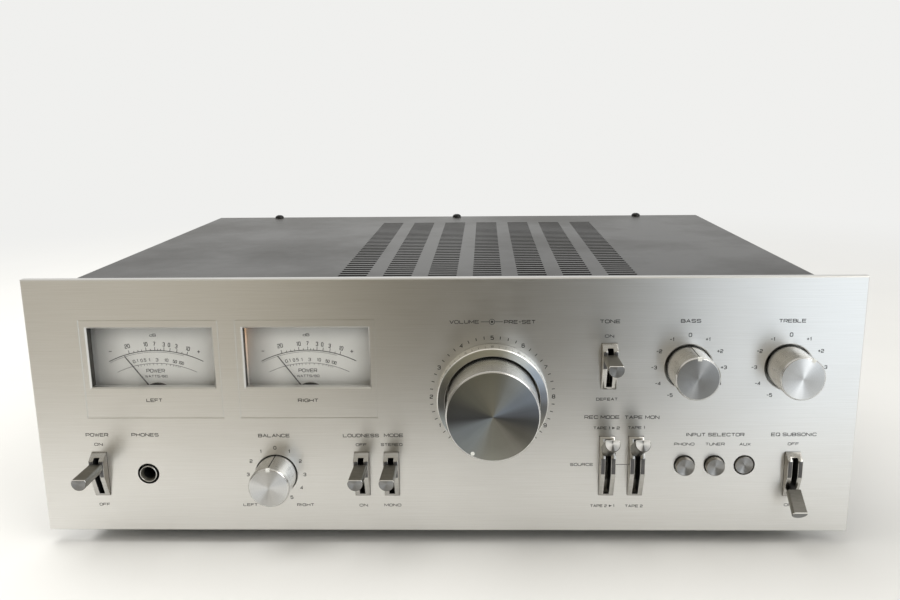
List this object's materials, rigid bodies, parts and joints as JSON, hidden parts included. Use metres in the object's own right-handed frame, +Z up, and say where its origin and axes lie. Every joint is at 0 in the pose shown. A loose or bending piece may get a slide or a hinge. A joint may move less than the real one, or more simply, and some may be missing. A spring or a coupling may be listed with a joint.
{
  "type": "integrated amplifier",
  "caption": "Silver-fronted integrated amplifier with power meters, turned knobs, lever switches and a dark slotted cover; all controls move.",
  "frame": {"origin": "centre of the bounding box in X and Y, on the floor plane under the feet", "axes": "+Z up, +X to the right seen from the front, the front panel faces -Y"},
  "size_m": [0.45, 0.3184, 0.1535],
  "materials": {
    "front_aluminium": "brushed",
    "turned_aluminium": "polished",
    "plated_housing": "polished",
    "cover_paint": "satin",
    "black_steel": "satin",
    "zinc_steel": "satin",
    "black_plastic": "matte",
    "dial_plastic": "matte",
    "clear_window": "clear",
    "lamp": "clear",
    "foot_rubber": "matte",
    "board_resin": "matte",
    "sleeve": "gloss",
    "sink_aluminium": "satin",
    "white_plastic": "matte"
  },
  "bodies": {
    "case": {"front_panel": "front_aluminium", "front_subpanel": "zinc_steel", "chassis_base": "zinc_steel", "rear_panel": "black_steel", "top_cover": "cover_paint", "cover_screw_left": "black_steel", "cover_screw_centre": "black_steel", "cover_screw_right": "black_steel", "foot_front_left": "foot_rubber", "foot_front_right": "foot_rubber", "foot_rear_left": "foot_rubber", "foot_rear_right": "foot_rubber", "volume_control": "zinc_steel", "balance_control": "zinc_steel", "bass_control": "zinc_steel", "treble_control": "zinc_steel", "power_switch": "black_plastic", "loudness_mode_switch": "zinc_steel", "tone_switch": "zinc_steel", "tape_switch": "zinc_steel", "subsonic_switch": "zinc_steel", "selector_switch": "zinc_steel", "phones_jack": "plated_housing", "meter_housing": "dial_plastic", "left_meter_window": "clear_window", "right_meter_window": "clear_window", "meter_lamp": "lamp", "power_transformer": "black_steel", "heat_sink": "sink_aluminium", "main_board": "board_resin", "preamp_board": "board_resin", "left_capacitor": "sleeve", "right_capacitor": "sleeve", "input_jacks": "white_plastic", "speaker_terminals": "black_plastic", "mains_gland": "black_plastic", "power_lever_housing": "plated_housing", "loudness_lever_housing": "plated_housing", "mode_lever_housing": "plated_housing", "tone_lever_housing": "plated_housing", "subsonic_lever_housing": "plated_housing", "rec_mode_lever_housing": "plated_housing", "tape_monitor_lever_housing": "plated_housing"},
    "volume_knob": {"volume_knob": "turned_aluminium"},
    "preset_ring": {"preset_ring": "turned_aluminium"},
    "balance_knob": {"balance_knob": "turned_aluminium"},
    "bass_knob": {"bass_knob": "turned_aluminium"},
    "treble_knob": {"treble_knob": "turned_aluminium"},
    "phono_button": {"phono_button": "turned_aluminium"},
    "tuner_button": {"tuner_button": "turned_aluminium"},
    "aux_button": {"aux_button": "turned_aluminium"},
    "left_needle": {"left_needle": "black_plastic"},
    "right_needle": {"right_needle": "black_plastic"},
    "power_lever": {"power_lever": "turned_aluminium"},
    "loudness_lever": {"loudness_lever": "turned_aluminium"},
    "mode_lever": {"mode_lever": "turned_aluminium"},
    "tone_lever": {"tone_lever": "turned_aluminium"},
    "subsonic_lever": {"subsonic_lever": "turned_aluminium"},
    "rec_mode_lever": {"rec_mode_lever": "turned_aluminium"},
    "tape_monitor_lever": {"tape_monitor_lever": "turned_aluminium"}
  },
  "joints": [
    {"name": "power_lever_swing", "type": "hinge", "parent": "case", "child": "power_lever", "pos_m": [-0.1917, -0.11425, 0.0425], "axis": [1, 0, 0], "range_deg": [0, 38]},
    {"name": "loudness_lever_swing", "type": "hinge", "parent": "case", "child": "loudness_lever", "pos_m": [-0.045, -0.11425, 0.0425], "axis": [1, 0, 0], "range_deg": [0, 38]},
    {"name": "mode_lever_swing", "type": "hinge", "parent": "case", "child": "mode_lever", "pos_m": [-0.0285, -0.11425, 0.0425], "axis": [1, 0, 0], "range_deg": [0, 38]},
    {"name": "tone_lever_swing", "type": "hinge", "parent": "case", "child": "tone_lever", "pos_m": [0.09032, -0.11425, 0.1047], "axis": [1, 0, 0], "range_deg": [0, 38]},
    {"name": "subsonic_lever_swing", "type": "hinge", "parent": "case", "child": "subsonic_lever", "pos_m": [0.19179, -0.11425, 0.0425], "axis": [1, 0, 0], "range_deg": [-38, 0]},
    {"name": "rec_mode_lever_swing", "type": "hinge", "parent": "case", "child": "rec_mode_lever", "pos_m": [0.09032, -0.11425, 0.0472], "axis": [1, 0, 0], "range_deg": [0, 64]},
    {"name": "tape_monitor_lever_swing", "type": "hinge", "parent": "case", "child": "tape_monitor_lever", "pos_m": [0.10622, -0.11425, 0.0472], "axis": [1, 0, 0], "range_deg": [0, 64]},
    {"name": "volume_knob_turn", "type": "hinge", "parent": "case", "child": "volume_knob", "pos_m": [0.02749, -0.12865, 0.0876], "axis": [0, 1, 0], "range_deg": [0, 300]},
    {"name": "preset_ring_turn", "type": "hinge", "parent": "case", "child": "preset_ring", "pos_m": [0.02749, -0.12865, 0.0876], "axis": [0, 1, 0], "range_deg": [-150, 150]},
    {"name": "balance_knob_turn", "type": "hinge", "parent": "case", "child": "balance_knob", "pos_m": [-0.0931, -0.12865, 0.042], "axis": [0, 1, 0], "range_deg": [-150, 150]},
    {"name": "bass_knob_turn", "type": "hinge", "parent": "case", "child": "bass_knob", "pos_m": [0.13302, -0.12865, 0.1039], "axis": [0, 1, 0], "range_deg": [-162, 138]},
    {"name": "treble_knob_turn", "type": "hinge", "parent": "case", "child": "treble_knob", "pos_m": [0.18639, -0.12865, 0.1039], "axis": [0, 1, 0], "range_deg": [-185, 115]},
    {"name": "left_needle_swing", "type": "hinge", "parent": "case", "child": "left_needle", "pos_m": [-0.15799, -0.12865, 0.08441], "axis": [0, 1, 0], "range_deg": [0, 78]},
    {"name": "right_needle_swing", "type": "hinge", "parent": "case", "child": "right_needle", "pos_m": [-0.073, -0.12865, 0.08441], "axis": [0, 1, 0], "range_deg": [0, 78]},
    {"name": "phono_button_press", "type": "slide", "parent": "case", "child": "phono_button", "axis": [0, 1, 0], "range_m": [0, 0.0028]},
    {"name": "tuner_button_press", "type": "slide", "parent": "case", "child": "tuner_button", "axis": [0, 1, 0], "range_m": [0, 0.0028]},
    {"name": "aux_button_press", "type": "slide", "parent": "case", "child": "aux_button", "axis": [0, 1, 0], "range_m": [-0.0028, 0]}
  ]
}
